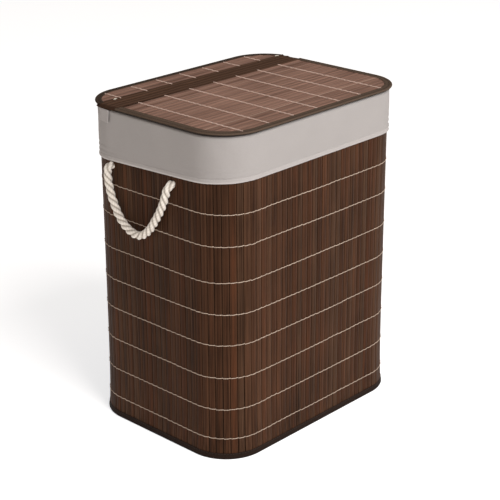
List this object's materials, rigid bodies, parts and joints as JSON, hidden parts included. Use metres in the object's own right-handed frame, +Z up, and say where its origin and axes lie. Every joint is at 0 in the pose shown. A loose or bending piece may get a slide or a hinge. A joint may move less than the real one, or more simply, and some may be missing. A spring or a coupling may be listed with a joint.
{
  "type": "laundry hamper",
  "caption": "Tall laundry hamper: upright dark wooden slats round a rounded rectangle, cloth liner with a turned-down cuff, folding slatted lid and rope handles.",
  "frame": {"origin": "centre of the footprint on the floor", "axes": "+Z up, -Y the front, where the lid opens, +Y the back, where the lid's fixed strip is, X along the long side from one rope handle to the other"},
  "size_m": [0.551, 0.401, 0.655],
  "materials": {
    "wood_slats": "stained dark brown, semi-matt, grain along the slat",
    "lid_slats": "stained brown, semi-matt, grain along the slat",
    "brown_cloth": "dark brown woven tape and cloth, matt",
    "grey_cloth": "grey plain-weave cloth, matt",
    "pale_hem": "paler grey plain-weave cloth, doubled and stitched",
    "thread": "tan two-ply thread",
    "rope": "cream three-strand cotton rope",
    "wire": "drawn steel wire",
    "board": "plain stiff fibre board"
  },
  "bodies": {
    "root": {"front_slats": "wood_slats", "back_slats": "wood_slats", "left_slats": "wood_slats", "right_slats": "wood_slats", "front_left_corner_slats": "wood_slats", "front_right_corner_slats": "wood_slats", "back_left_corner_slats": "wood_slats", "back_right_corner_slats": "wood_slats", "wall_backing": "brown_cloth", "wall_threads": "thread", "rim_wire": "wire", "rim_binding": "brown_cloth", "base_wire": "wire", "base_binding": "brown_cloth", "base_cloth": "brown_cloth", "base_board": "board", "liner_bag": "grey_cloth", "liner_floor": "grey_cloth", "cuff_hem": "pale_hem", "left_lid_tab": "grey_cloth", "right_lid_tab": "grey_cloth", "left_rope_ends": "rope", "right_rope_ends": "rope", "left_rope_knots": "rope", "right_rope_knots": "rope", "rear_strip_slats": "lid_slats", "rear_strip_backing": "brown_cloth", "rear_strip_wire": "wire", "rear_strip_binding": "brown_cloth", "rear_strip_threads": "thread", "hinge_band": "brown_cloth", "band_tacks": "thread"},
    "flap": {"flap_slats": "lid_slats", "flap_backing": "brown_cloth", "flap_wire": "wire", "flap_binding": "brown_cloth", "flap_threads": "thread"},
    "left_handle": {"left_handle_rope": "rope"},
    "right_handle": {"right_handle_rope": "rope"}
  },
  "joints": [
    {"name": "flap_hinge", "type": "hinge", "parent": "root", "child": "flap", "pos_m": [0, 0.1195, 0.653], "axis": [-1, 0, 0], "range_deg": [0, 170]},
    {"name": "left_handle_swing", "type": "hinge", "parent": "root", "child": "left_handle", "pos_m": [-0.2675, 0.026, 0.5397], "axis": [0, 1, 0], "range_deg": [0, 150]},
    {"name": "right_handle_swing", "type": "hinge", "parent": "root", "child": "right_handle", "pos_m": [0.2675, 0.026, 0.5397], "axis": [0, -1, 0], "range_deg": [0, 150]}
  ]
}
